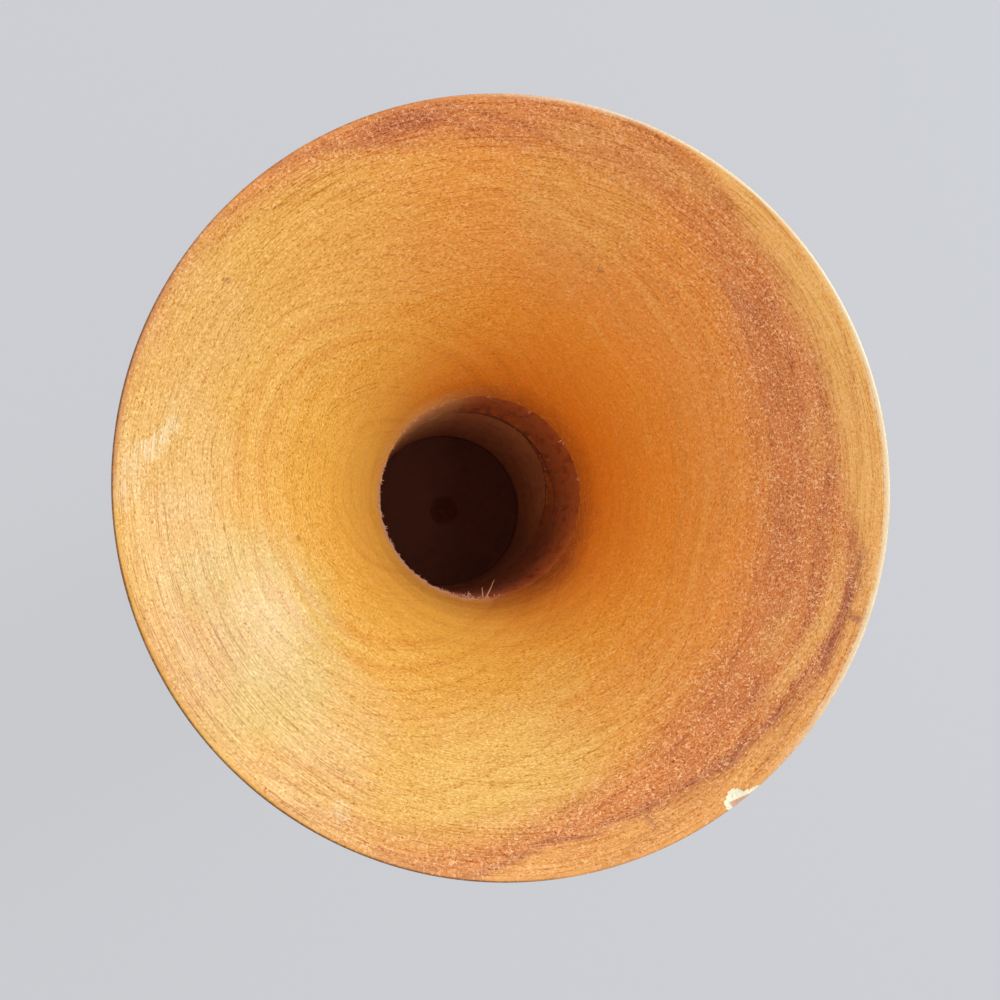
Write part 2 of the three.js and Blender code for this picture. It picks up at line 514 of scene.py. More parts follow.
class Wood(Paint):
    """Turned wood with its grain: rings about a pith that runs up the piece, pores and the tool's lines."""

    def __init__(self, name, pith=(0, 0), shift=(0, 0, 0)):
        super().__init__(name)
        self.grain = self.add("VectorMath", {0: self.place, 1: shift}, operation="ADD")
        self.long_grain = self.stretch(self.grain, (1, 1, 0.22))
        off_pith = self.length(self.minus(self.x, pith[0]), self.minus(self.y, pith[1]))
        sway = self.wander(self.long_grain, 45 * mm, 4 * mm)
        self.ring = self.sum(off_pith, sway, self.wander(self.long_grain, 6 * mm, 0.35 * mm))
        bands = {"W": self.product(self.ring, 1 / band_width), "Scale": 1.0, "Detail": 4.0}
        self.growth = self.add("TexNoise", bands, noise_dimensions="1D")
        lines = {"W": self.product(self.ring, 1 / line_width), "Scale": 1.0}
        self.ring_lines = self.add("TexVoronoi", lines, voronoi_dimensions="1D").node.outputs
        self.tool = self.round_and_across(10 * mm, 0.22 * mm, 1.0)
        self.mottle = self.round_and_across(0.5 * mm, 0.3 * mm, 1.0, 0.2 * mm)
        self.pores = self.dots(self.stretch(self.grain, (1, 1, 0.16)), 0.66 * mm, 0.19 * mm, 0.3)
        self.clouds = self.noise(self.stretch(self.grain, (1, 1, 0.3)), 14 * mm)
        self.breaks = self.noise(self.grain, 1.8 * mm)

    def round_and_across(self, long, wide, detail, sway=0.0):
        """Blotches that run round the piece: so long, so wide across it, and swaying by a length."""
        across = self.sum(self.z, self.radius)
        if sway:
            across = self.sum(across, self.wander(self.grain, 0.9 * mm, sway))
        place = self.stretch(self.vector(self.x, self.y, across), (1 / long, 1 / long, 1 / wide))
        return self.add("TexNoise", {"Vector": place, "Scale": 1.0, "Detail": detail})

    def tone(self, base, crisp=1.0, bands=0.75):
        """The colour with its growth rings: soft bands of that strength and thin broken lines."""
        colour = self.mix(self.ramp(self.clouds, 0.35, 0.75, 0.14), base, amber)
        faint = self.ramp(self.clouds, 0.2, 0.6, 0.5)
        dark_band = self.product(self.ramp(self.growth, 0.5, 0.7), faint, bands, 0.8)
        pale_band = self.product(self.ramp(self.growth, 0.47, 0.33), faint, crisp, 0.38)
        colour = self.mix(pale_band, self.mix(dark_band, colour, amber), worn_gold)
        line = self.product(
            self.ramp(self.ring_lines["Distance"], 0.13, 0.03),
            self.ring_lines["Color"],
            crisp,
            self.ramp(self.breaks, 0.4, 0.62, 0.5),
        )
        return self.mix(line, colour, pore_brown)

    def reddened(self, colour, heart):
        """The colour with its heart, streaked along the rings, where that share of it shows."""
        streaks = self.ramp(self.sum(self.growth, self.wander(self.long_grain, 4 * mm, 0.25)), 0.42, 0.75)
        red = self.mix(self.product(streaks, 0.7), heart_red, heart_dark)
        return self.mix(self.product(heart, 0.9), colour, red)

    def curls(self):
        """Short curled ridges in the lacquer, painted pale partly as wood flecks and partly as glints,
        denser in some patches than in others.
        """
        ridge = self.ramp(self.off(self.noise(self.grain, 0.47 * mm, 0.0, 0.5), 0.5), 0.09, 0.03)
        gaps = self.ramp(self.noise(self.grain, 0.53 * mm), 0.46, 0.56)
        patches = self.ramp(self.noise(self.grain, 2.6 * mm), 0.3, 0.6, 1.0, 0.4)
        return self.product(ridge, gaps, patches)

    def grained(self, colour, crisp=1.0, lined=0.0, curled=0.0):
        """The colour with flecks, pores, the tool's lines and curled ridges, partly painted glints, as crisp
        as that share.
        """
        patches = self.sum(self.ramp(self.noise(self.grain, 26 * mm), 0.4, 0.6, 0.26, 0.1), lined)
        curls = self.curls()
        level = self.sum(
            self.product(self.ramp(self.tool, 0.56, 0.66), patches, -0.22),
            self.product(self.ramp(self.tool, 0.45, 0.34), patches, 0.09),
            self.ramp(self.mottle, 0.55, 0.72, 0.09),
            self.product(self.ramp(self.mottle, 0.45, 0.28), -0.13),
            self.product(self.pores, -0.11),
            self.product(curls, 0.08),
            -0.018,
        )
        colour = self.shaded(colour, self.product(level, crisp))
        return self.mix(self.product(curls, curled), colour, glint_fleck_peach)

    def relief(self):
        return self.sum(
            self.product(self.tool, 0.9), self.product(self.mottle, 0.8), self.product(self.pores, -0.6)
        )


def lacquered(wood, colour, crisp=1.0, lined=0.0, curled=0.1):
    """A worn satin lacquer over the wood, which the pores and the tool's lines show through."""
    cloudy = wood.noise(wood.place, 11 * mm)
    return wood.finish(
        Base_Color=wood.grained(colour, crisp, lined, curled),
        Roughness=wood.sum(wood.product(cloudy, 0.16), wood.product(wood.tool, 0.1), 0.17),
        Normal=wood.bump(wood.relief(), 0.032 * mm, 0.8),
    )


def plain_wood(name, pith, heart, shift):
    """Lacquered wood whose heart reddens outside a distance from the pith."""
    wood = Wood(name, pith, shift)
    colour = wood.tone(honey, quiet, 0.9)
    colour = wood.reddened(colour, wood.ramp(wood.ring, heart - 2 * mm, heart + 5 * mm))
    return lacquered(wood, colour, quiet)


# Grain, wear and painted light on the bell, by azimuth in degrees and radius in millimetres

heart_inner_edge = [
    (-180, 64), (-135, 58.6), (-118, 57.2), (-104, 55.5), (-90, 52.5), (-80, 50.4), (-67, 48), (-50, 45.5),
    (-30, 44.3), (-5, 43.5), (15, 44), (32, 45.9), (50, 48.9), (65, 51.9), (82, 53), (98, 54.2), (110, 54.9),
    (120, 56.4), (130, 57.4), (145, 58.2), (160, 59), (180, 62),
]
heart_outer_edge = [
    (-180, 64), (-115, 64), (-107, 62), (-97, 59.4), (-91, 57), (-85, 55.2), (-78, 54.4), (-70, 54.3),
    (-53, 54.8), (-40, 55.5), (-30, 56.2), (-20, 56.5), (-13, 56.3), (-8, 55.2), (-3, 54.2), (5, 53.7),
    (20, 53.4), (28, 53.7), (37, 54.3), (46, 55.2), (53, 57), (60, 58.5), (70, 60.5), (90, 64), (180, 64),
]
heart_strength = [
    (-180, 0), (-138, 0.2), (-118, 0.45), (-100, 0.9), (-80, 1), (33, 1), (52, 0.7), (75, 0.75), (98, 1),
    (120, 1), (140, 0.8), (160, 0.55), (180, 0),
]
sap_strength = [
    (-180, 0.9), (-115, 0.8), (-95, 0.5), (-60, 0.5), (-25, 0.55), (0, 0.9), (12, 0.86), (20, 0.97), (30, 1),
    (45, 0.85), (60, 0.9), (180, 0.9),
]
plum_strength = [
    (-180, 0), (-112, 0), (-98, 0.25), (-80, 0.45), (-62, 0.45), (-45, 0.52), (-25, 0.6), (-14, 0.42),
    (-7, 0.1), (0, 0), (180, 0),
]
pale_strength = [(-180, 0), (-55, 0), (-40, 0.3), (-27, 0.8), (-18, 0.55), (-8, 0.2), (0, 0), (180, 0)]
tool_strength = [
    (-180, 0.55), (-150, 0.9), (-120, 0.7), (-90, 0.4), (-45, 0.3), (-10, 0.4), (25, 0.35), (60, 0.5),
    (90, 0.75), (115, 0.8), (135, 0.5), (150, 0.3), (180, 0.55),
]

# Streaks along the heart: half their length and width, how strong they are and their colour
heart_smears = [
    (109, 57.7, 13, 2.3, 0.9, heart_dark), (80, 56, 8, 2.6, 0.3, sap_gold),
    (61, 56, 9, 2.6, 0.35, sap_gold), (37, 49, 10, 1.9, 0.5, heart_dark),
    (20, 47.2, 6, 1.4, 0.35, heart_dark), (8, 50.8, 8, 2.6, 0.3, sap_gold),
    (-8, 45.4, 14, 1.7, 0.4, heart_dark), (-30, 49.6, 8, 3.4, 0.38, sap_gold),
    (-42, 51.7, 7, 1.7, 0.6, heart_dark), (-46, 49, 6, 1.4, 0.45, heart_dark),
    (-80, 51.7, 6, 1.8, 0.25, heart_dark),
]

# Spots of colour: how far they reach, how ragged and how strong they are, and their colour. The dull gold
# spot at -150 degrees is a painted sheen.
hazes = [
    (-150, 46, 21, 3, 0.85, sheen_gold), (-90, 45.5, 18, 0, 0.42, pale_gold), (76, 48.5, 16, 0, 0.45, honey),
    (176, 52, 13, 0, 0.11, cream_wear_and_highlight), (-128, 45, 12, 0, 0.06, cream_wear_and_highlight),
    (-148.5, 46.5, 10, 0, 0.09, cream_wear_and_highlight), (-170, 51.5, 10, 0, 0.11, cream_wear_and_highlight),
    (-124, 54, 10, 0, 0.08, cream_wear_and_highlight), (-152, 58, 13, 0, 0.38, amber), (156, 55.5, 15, 0, 0.13, torn_pink),
    (75, 37.5, 9, 0, 0.22, amber), (-64, 25.5, 8, 0, 0.22, amber), (-74, 33.5, 7, 0, 0.25, pale_gold),
]

# Knots, and scuffs with their strength
dark_specks = [(146.4, 53.8, 0.8), (67, 40.2, 0.75), (-166, 35.5, 0.7)]
pale_scuffs = [
    (171.6, 52.9, 1.7, 0.55), (173.5, 53.9, 1.8, 0.55), (175.6, 55, 2.1, 0.5), (177, 57, 2.8, 0.28),
    (-179.8, 57.6, 2.8, 0.25), (-177, 58, 2.8, 0.22), (-119, 56, 2, 0.3),
]

# Cracks: the radius where they start and end, their half width and how strong they are
rim_cracks = [(-21.5, 56.4, 59.2, 1.3, 0.6), (-69, 54, 57.5, 1.1, 0.35)]

# The chip: its edge in the flare, the step down to its face, that face's slope and jags, and where its
# pinker side starts, with an edge that moves out as the azimuth grows
chip_azimuths = np.radians([-58.2, -57.6, -56.5, -55.9, -55.0, -54.6, -54.2, -53.3, -52.4, -51.4])
chip_edges = np.array([60.3, 58.75, 58.2, 58.05, 58.2, 58.75, 59.3, 59.45, 59.6, 60.3]) * mm
chip_step = 0.15 * mm
chip_slope = 0.35
chip_jag = 0.04 * mm
chip_end = 60.2 * mm
pink_start = math.radians(-57)
pink_edge = 58.95 * mm
pink_edge_slope = 12.6 * mm


class BellWood(Wood):
    """The bell's wood: painted warmer on its shaded side, with a red heart band, a plum streak and pale
    sapwood.
    """

    def __init__(self, name):
        super().__init__(name, bell_pith)
        # How far a place lies towards the lamp's side; the flare there faces away from the lamp, and its
        # painted shade is warmer
        self.over = self.towards(lamp_side)
        self.shaded_half = self.where((self.over, -32, 32))
        waves = self.wander(self.long_grain, 9 * mm, 1.2 * mm)
        ragged = self.sum(self.radius, waves, self.wander(self.grain, 2.2 * mm, 0.5 * mm))
        past_heart = self.minus(ragged, self.round_axis(heart_inner_edge, 40, 64, mm))
        sharper = self.product(past_heart, self.where((self.y, 15, 45, 1.5, 1.0)))
        strength = self.round_axis(heart_strength)
        self.heart = self.product(self.where((sharper, -3.8, 3.8)), strength)
        self.near_heart = self.product(self.where((past_heart, -9, 2)), strength)
        self.past_sap = self.minus(ragged, self.round_axis(heart_outer_edge, 50, 64, mm))
        self.sap = self.product(self.where((self.past_sap, -1.6, 1.6)), self.round_axis(sap_strength))

    def banded(self, colour):
        """The colour with the heart band, the sapwood and the streak between them."""
        colour = self.reddened(colour, self.heart)
        for azimuth, radius, half_length, half_width, strength, tint in heart_smears:
            smear = self.smear(math.radians(azimuth), radius * mm, half_length * mm, half_width * mm)
            colour = self.mix(self.product(smear, strength), colour, tint)
        off_pale = self.off(self.past_sap, -2.3 * mm)
        pale = self.product(self.where((off_pale, 1.9, 0.4)), self.round_axis(pale_strength))
        colour = self.mix(self.math("MAXIMUM", self.sap, pale), colour, self.tone(sap_gold))
        plum = self.product(
            self.where((self.off(self.past_sap, 0.0), 1.6, 0)),
            self.round_axis(plum_strength),
            self.ramp(self.round_and_across(7 * mm, 0.4 * mm, 2.0, 0.3 * mm), 0.42, 0.58, 1.3, 0.35),
        )
        return self.mix(plum, colour, streak_plum)

    def smear(self, azimuth, radius, half_length, half_width):
        """1 at a place on the flare, falling to 0 so far round the axis from it and so far across."""
        away = self.product(self.minus(self.azimuth, azimuth), radius / half_length)
        across = self.product(self.minus(self.radius, radius), 1 / half_width)
        return self.ramp(self.length(away, across), 1.0, 0.1)

    def crack(self, azimuth, inner, outer, half_width):
        """1 along a wavering radial line from one radius to another, fading at its ends."""
        ahead = self.towards(azimuth)
        across = self.sum(self.towards(azimuth + math.pi / 2), self.wander(self.place, 2 * mm, 0.9 * mm))
        return self.product(
            self.ramp(self.off(across, 0.0), half_width, 0.0),
            self.ramp(ahead, inner, inner + 1.5 * mm),
            self.ramp(ahead, outer + 0.5 * mm, outer - 1 * mm),
            self.ramp(self.z, throat, rim - 6 * mm),
        )

    def lip_light_and_shade(self, colour):
        """The colour with the lip painted pale as its highlight on one side and dark as its shade on the
        other.
        """
        uneven = self.sum(self.radius, self.wander(self.place, 5 * mm, 0.3 * mm))
        narrower = self.minus(uneven, self.where((self.y, 10, 45, 0.4 * mm)))
        from_rim = self.minus(self.z, rim)
        bright = self.where((self.x, -8, 10), (self.y, -30, -50, 0.85))
        # Painted highlight on the lip's side towards the lamp
        pale = self.where((from_rim, -0.8, -0.35), (narrower, 58.6, 59.45), (self.over, 10, 40, 0.68))
        red = self.where((uneven, 58.95, 59.25), (self.x, -42, -56, 0.6), (self.y, -5, 2))
        # Painted shade on the lip's far side
        painted_shade = self.product(
            self.where((self.radius, 59.55, 59.8), (self.over, 24, 0, 0.8)),
            self.rest(bright),
            self.rest(self.where((self.y, 15, 45, 0.75))),
        )
        return self.layered(colour, (pale, cream_wear_and_highlight), (red, lip_red), (painted_shade, lip_shade_brown))


def back_wood():
    """The outside of the bell."""
    wood = BellWood("back_wood")
    return lacquered(wood, wood.lip_light_and_shade(wood.banded(wood.tone(honey, quiet, 0.9))), quiet)


def flare_base(wood, on_flare):
    """The flare's colour under its grain: painted shade orange on the half away from the lamp and deeper
    towards the throat, painted light as a gold glow deep on the lit half, hazy in places with a painted
    sheen.
    """
    up = wood.minus(wood.z, throat)
    # Painted light: a gold glow deep in the flare on its lit half. Painted shade: deep orange towards the
    # throat on the other half.
    glow = wood.product(wood.where((up, 34, 4)), wood.rest(wood.shaded_half))
    deep_shade = wood.where((up, 26, -1), (wood.over, -18, 10, 0.84, 0.04))
    base = wood.layered(wood.mix(wood.shaded_half, gold, shading_orange), (glow, glow_gold), (deep_shade, shade_deep_orange))
    for azimuth, radius, size, ragged, strength, tint in hazes:
        haze = wood.spot(on_flare(azimuth, radius * mm), size * mm, ragged * mm, strength)
        base = wood.mix(haze, base, tint)
    return base


def flare_marks(wood, colour, on_flare):
    """The flare's colour with dark knots and cracks and pale scuffs."""
    for azimuth, radius, size in dark_specks:
        speck = wood.spot(on_flare(azimuth, radius * mm), size * mm, 0.3 * mm, 0.42)
        colour = wood.mix(speck, colour, pore_brown)
    for azimuth, inner, outer, half_width, strength in rim_cracks:
        crack = wood.crack(math.radians(azimuth), inner * mm, outer * mm, half_width * mm)
        colour = wood.mix(wood.product(crack, strength), colour, streak_plum)
    streaks = wood.ramp(wood.round_and_across(9 * mm, 0.34 * mm, 1.0, 0.1 * mm), 0.3, 0.66)
    for azimuth, radius, size, strength in pale_scuffs:
        scuff = wood.spot(on_flare(azimuth, radius * mm), size * mm, size * mm / 2, strength)
        colour = wood.mix(wood.product(scuff, streaks), colour, cream_wear_and_highlight)
    return colour


def throat_edge(wood, colour):
    """The flare's colour with the throat's edge rubbed and torn on some sides, and painted shade darkening
    it on others.
    """
    out = wood.minus(wood.radius, bore_radius)
    up = wood.minus(wood.z, throat)
    frayed = wood.sum(out, wood.wander(wood.place, 1.4 * mm, 0.5 * mm))
    blurred = wood.sum(out, wood.wander(wood.place, 2.5 * mm, 0.9 * mm))
    torn_side = wood.sum(wood.product(wood.x, 0.75), wood.product(wood.y, 0.65))
    rubbed = wood.where((frayed, 1.7, 0.4, 0.75), (wood.minus(wood.y, wood.x), 16, 30))
    # Painted shade: below the throat, and dim round its edge on the lamp's side and lower down
    shade_below = wood.where((out, 5, 0), (wood.y, -8, -17, 0.35), (wood.x, -3, 7, 1.7, 1.0))
    torn = wood.where((frayed, 0.75, 0.3), (torn_side, -8, -17, 0.85), (up, 4, 2))
    dim = wood.where((blurred, 3, 0), (wood.over, -3, 9), (wood.y, 2, -14, 0.75, 0.4))
    return wood.layered(
        colour, (rubbed, rubbed_brown), (shade_below, throat_shade_brown), (torn, torn_pink), (dim, throat_shade_brown)
    )


def mouth_wood(on_flare):
    """The flare inside the bell, with grain that is less crisp towards the throat."""
    wood = BellWood("mouth_wood")
    smoothed = wood.where((wood.over, 8, 24), (wood.radius, 46, 33, 0.35))
    crisp = wood.product(wood.rest(smoothed), wood.where((wood.radius, 34, 23, 0.45, 1.0)))
    colour = wood.banded(wood.tone(flare_base(wood, on_flare), crisp))
    colour = throat_edge(wood, wood.lip_light_and_shade(flare_marks(wood, colour, on_flare)))

    before_sap = wood.rest(wood.product(wood.sap, 0.8))
    crisp = wood.product(
        crisp,
        wood.rest(wood.product(wood.sap, 0.45)),
        wood.sum(wood.product(wood.heart, 0.2), 1.0),
        wood.where((wood.radius, 59.5, 58.9, 1.0, 0.3)),
    )
    lines = wood.product(
        wood.where((wood.radius, 38, 57, 0.5)),
        wood.round_axis(tool_strength),
        wood.rest(wood.product(wood.heart, before_sap, 0.5)),
    )
    # Curled pale flecks, partly painted glints: in the heart, and more on the shaded half
    curls = wood.product(wood.near_heart, before_sap, wood.where((wood.y, 80, 25, 0.72)))
    lined = wood.sum(lines, wood.product(wood.sap, 0.2))
    curled = wood.sum(curls, wood.product(wood.shaded_half, 0.14), 0.1)
    return lacquered(wood, colour, crisp, lined, curled)


def bare_wood():
    """Rough drilled wood without lacquer: stained near the mouth and raw below a slanting line, with painted
    shade and light in places.
    """
    wood = Paint("bare_wood")
    fibres = wood.noise(wood.stretch(wood.place, (1, 1, 0.25)), 1.6 * mm, 4.0)
    rings = wood.noise(wood.stretch(wood.place, (0.15, 0.15, 1)), 1.1 * mm, 3.0)
    slant = wood.product(wood.towards(stain_side), stain_slope)
    line = wood.sum(slant, stain_height, wood.wander(wood.place, 6 * mm, 0.8 * mm))
    above = wood.minus(wood.z, line)
    stained = wood.mix(wood.ramp(fibres, 0.3, 0.7), stain_dark, stain_light)
    raw = wood.mix(fibres, bare_dark, bare_light)
    colour = wood.mix(wood.where((above, -0.3, 0.5)), raw, stained)

    up = wood.minus(wood.z, throat)
    off_line = wood.off(above, 0.0)
    off_joint = wood.off(wood.z, spigot_end)
    low_side = wood.where((wood.y, 2, -10))
    fade = wood.rest(wood.product(low_side, 0.95))
    far_side = wood.where((wood.minus(wood.y, wood.x), 19, 28), (up, -100, -12))
    # The floor's side that the lamp lights, painted paler as painted light
    lit_side = wood.sum(wood.x, wood.wander(wood.place, 9 * mm, 6 * mm))
    dust_and_light = wood.mix(fibres, dust_dark, dust_light)
    dust_and_light = wood.mix(wood.where((lit_side, 9, -12, 0.33)), dust_and_light, floor_lit_pale)
    seam = wood.product(wood.where((off_line, 0.8, 0.1, 0.85), (wood.x, -4, 5)), fade)
    glue_line = wood.product(wood.where((off_joint, 1.1, 0.7, 0.8), (off_line, 7, 2, 1.0, 0.6)), fade)
    singed = wood.product(wood.ramp(fibres, 0.44, 0.6), wood.where((above, 2, 9, 0.5)))
    colour = wood.layered(
        colour,
        (seam, seam_black),
        (glue_line, glue_and_shade_brown),
        (singed, singed_brown),
        (wood.ramp(rings, 0.5, 0.75, 0.4), drill_brown),
        # Frayed fibres on the far wall, lightened as a painted sheen
        (wood.product(far_side, wood.sum(fibres, 0.5)), frayed_tan_and_sheen),
        # Painted shade deep in the bore on its low side
        (wood.product(low_side, wood.where((up, -8, -27, 0.55))), glue_and_shade_brown),
        # Painted light: lighter orange at the top of the bore on its low side
        (wood.product(low_side, wood.where((up, -8, 0, 0.4))), shading_orange),
        (wood.where((wood.minus(wood.z, bore_floor), 4, 0.2)), dust_and_light),
    )
    return wood.finish(
        Base_Color=colour,
        Sheen_Weight=0.09,
        Sheen_Roughness=0.5,
        Sheen_Tint=bore_sheen,
        Roughness=wood.sum(wood.product(fibres, 0.25), 0.65),
        Normal=wood.bump(wood.sum(fibres, wood.product(rings, 0.6)), 0.3 * mm, 0.9),
    )


def chip_paint():
    """Broken wood: cream and fibrous, and pinker on its outer side."""
    wood = Paint("chip")
    fibre = wood.noise(wood.place, 0.5 * mm, 3.0)
    colour = wood.mix(wood.ramp(fibre, 0.6, 0.72), chip_cream, chip_fibre)
    turned = wood.minus(wood.azimuth, pink_start)
    past = wood.minus(wood.radius, wood.sum(wood.product(turned, pink_edge_slope), pink_edge))
    outer = wood.product(wood.ramp(past, 0.0, 0.25 * mm, 0.9), wood.ramp(turned, -0.006, 0.004))
    colour = wood.mix(outer, colour, chip_pink)
    return wood.finish(Base_Color=colour, Roughness=0.75, Normal=wood.bump(fibre, 0.2 * mm))


def fibre_paint():
    """Torn fibres, paler and darker along their length."""
    wood = Paint("fibre")
    colour = wood.mix(wood.noise(wood.place, 1.5 * mm), fibre_dark, fibre_light)
    return wood.finish(Base_Color=colour, Roughness=0.7)


def dowel_paint():
    """Pale planed beech: short flecks along the grain and a fine fibre."""
    wood = Wood("dowel_wood", shift=(0.05, 0.02, 0.0))
    fleck = wood.dots(wood.stretch(wood.grain, (1, 1, 0.1)), 0.9 * mm, 0.28 * mm, 0.5)
    fibre = wood.noise(wood.stretch(wood.grain, (1, 1, 0.05)), 0.35 * mm)
    colour = wood.mix(wood.ramp(fibre, 0.35, 0.7), beech_pale, beech_tan)
    return wood.finish(
        Base_Color=wood.mix(wood.product(fleck, 0.5), colour, beech_fleck),
        Roughness=wood.sum(wood.product(fibre, 0.2), 0.55),
        Normal=wood.bump(fibre, 0.05 * mm, 0.7),
    )


def felt_paint():
    """Pressed brown felt: matted fibres of two tones, with a soft sheen from its nap."""
    felt = Paint("felt")
    curl = felt.noise(felt.place, 2.2 * mm, 3.0)
    sway = felt.stretch(felt.vector(curl, curl, curl), (2 * mm,) * 3)
    twisted = felt.add("VectorMath", {0: felt.place, 1: sway}, operation="ADD")
    strands = felt.noise(felt.stretch(twisted, (1, 0.3, 1)), 0.4 * mm, 3.0)
    crossing = felt.noise(felt.stretch(twisted, (0.3, 1, 1)), 0.4 * mm, 3.0)
    matted = felt.math("MAXIMUM", strands, crossing)
    return felt.finish(
        Base_Color=felt.mix(felt.ramp(matted, 0.4, 0.75), felt_dark, felt_light),
        Sheen_Weight=0.35,
        Sheen_Roughness=0.6,
        Roughness=felt.sum(felt.product(curl, 0.1), 0.88),
        Normal=felt.bump(matted, 0.25 * mm, 0.9),
    )


# Pieces

def mouth_step(r, z, rising):
    """Fine in the flare, where the outline comes down from the lip to the throat."""
    in_flare = z > throat - near_end and r < lip_radius and not rising
    return flare_step if in_flare else shown_step


def mouth_bell(drilled):
    piece = Turned("mouth_bell", mouth_step)
    start, end = chip_azimuths[0] - fine_turn, chip_azimuths[-1] + fine_turn
    beside_chip = even_angles[(even_angles < start) | (even_angles > end)]
    angles = np.sort(np.append(beside_chip, np.arange(start, end, fine_turn)))

    on_axis_side = piece.radius < bore_radius + on_surface
    in_bore = on_axis_side & (piece.height > spigot_end + near_end) & (piece.height < throat - bore_lead)
    at_throat = (piece.radius < bore_radius + throat_reach) & (np.abs(piece.height - throat) < throat_reach)
    outside = smooth(piece.height, shoulder + 1 * mm, shoulder + 4 * mm) * ~on_axis_side
    chance = np.random.default_rng(seed=5)
    rough = chance.normal(0, 1, (len(piece.radius), len(angles)))
    lift = piece.marks(angles, 1) * outside[:, None]
    lift += rough * (bore_rough * in_bore + throat_rough * at_throat)[:, None]
    radius, height = piece.grid(lift)

    # The chip breaks away what stands over a sloping face, from a ragged edge in the flare out to the lip
    flare = (piece.radius > bore_radius) & (piece.normals[:, 1] > 0.05) & (piece.height > throat)
    order = np.argsort(piece.radius[flare])
    flare_radius, flare_height = piece.radius[flare][order], piece.height[flare][order]
    edge = np.interp(angles, chip_azimuths, chip_edges)
    jag = chip_jag * chance.normal(0, 1, len(angles))
    face = np.interp(edge, flare_radius, flare_height) + jag - chip_step + (radius - edge) * chip_slope
    broken = (radius > edge) & (height > face) & (edge < chip_end)
    height = np.where(broken, face, height)

    def on_flare(azimuth, r):
        return point_at(azimuth, r, np.interp(r, flare_radius, flare_height))

    def bare(r, z):
        return ((r < bore_radius + bare_reach) & (z < throat)) | (z < shoulder + on_surface)

    paints = {"flare": mouth_wood(on_flare), "bare": drilled, "chip": chip_paint(), "back": back_wood()}
    number = list(paints).index
    made = piece.mesh(angles, radius, height, paints.values(), bare)
    index = np.zeros(len(made.data.polygons), np.int32)
    made.data.polygons.foreach_get("material_index", index)
    index = index.reshape(piece.spans, len(angles))
    outward = piece.normals[: piece.spans, 0] > 0.5
    index[outward[:, None] & (index == number("flare"))] = number("back")
    index[broken | np.roll(broken, -1, axis=0) | np.roll(broken, -1, axis=1)] = number("chip")
    made.data.polygons.foreach_set("material_index", index.ravel())


def body(drilled):
    piece = Turned("body", lambda r, z, rising: shown_step if r > bore_radius - near_end else hidden_step)

    def bare(r, z):
        ends = (z < foot_top + on_surface) | (z > shoulder - on_surface)
        socket = (r < socket_radius) & (z > spigot_end - near_end)
        return ends | (r < bore_radius + near_end) | socket

    outside = ~bare(piece.radius, piece.height)
    in_bore = (np.abs(piece.radius - bore_radius) < on_surface) & (piece.height > bore_floor + near_end)
    rough = np.random.default_rng(seed=9).normal(0, bore_rough, (len(piece.radius), turns))
    lift = piece.marks(even_angles, 2) * outside[:, None] + rough * in_bore[:, None]
    wood = plain_wood("body_wood", pith=(9 * mm, -7 * mm), heart=37 * mm, shift=(0.31, 0.17, 0.4))
    piece.mesh(even_angles, *piece.grid(lift), [wood, drilled], bare)


def foot(drilled):
    piece = Turned("foot", lambda r, z, rising: shown_step if r > bore_radius else hidden_step)

    def bare(r, z):
        seat = (z > foot_top - on_surface) & (r < seat_radius)
        return (z < foot_bottom + on_surface) | seat | (r < bore_radius)

    outside = ~bare(piece.radius, piece.height)
    lift = piece.marks(even_angles, 3) * outside[:, None]
    wood = plain_wood("foot_wood", pith=(-21 * mm, 12 * mm), heart=47 * mm, shift=(0.7, 0.4, 0.13))
    piece.mesh(even_angles, *piece.grid(lift), [wood, drilled], bare)


def felt_pad():
    piece = Turned("felt_pad", lambda r, z, rising: felt_step)
    nap = np.abs(np.random.default_rng(seed=11).normal(0, felt_nap, (len(piece.radius), turns)))
    free = (piece.height < foot_bottom - felt_glued) & (piece.radius > same_place)
    lift = -nap * free[:, None]
    made = piece.mesh(even_angles, *piece.grid(lift), [felt_paint()], lambda r, z: r < 0)


# Torn fibres, in degrees and millimetres: how many there are and where along the throat's edge, azimuth,
# heading and length of the long ones, and azimuth and depth below the rim of those in the bore
edge_fibres, edge_span = 60, (-170, -75)
fringe_fibres, fringe_span = 36, (112, 178)
tuft_fibres, tuft_azimuth = 16, -97
bit_azimuths = (163, -161, 84, 60, 35, 12)
long_fibres = [(-89, -93, 2.4), (-88, -133, 4.4), (-86, -62, 1.6)]
wall_fibres = [(57, 70.5), (50, 71), (38, 68), (31, 66), (33, 71), (20, 72), (-4, 64)]
strand_steps = 7
strand_sides = 5


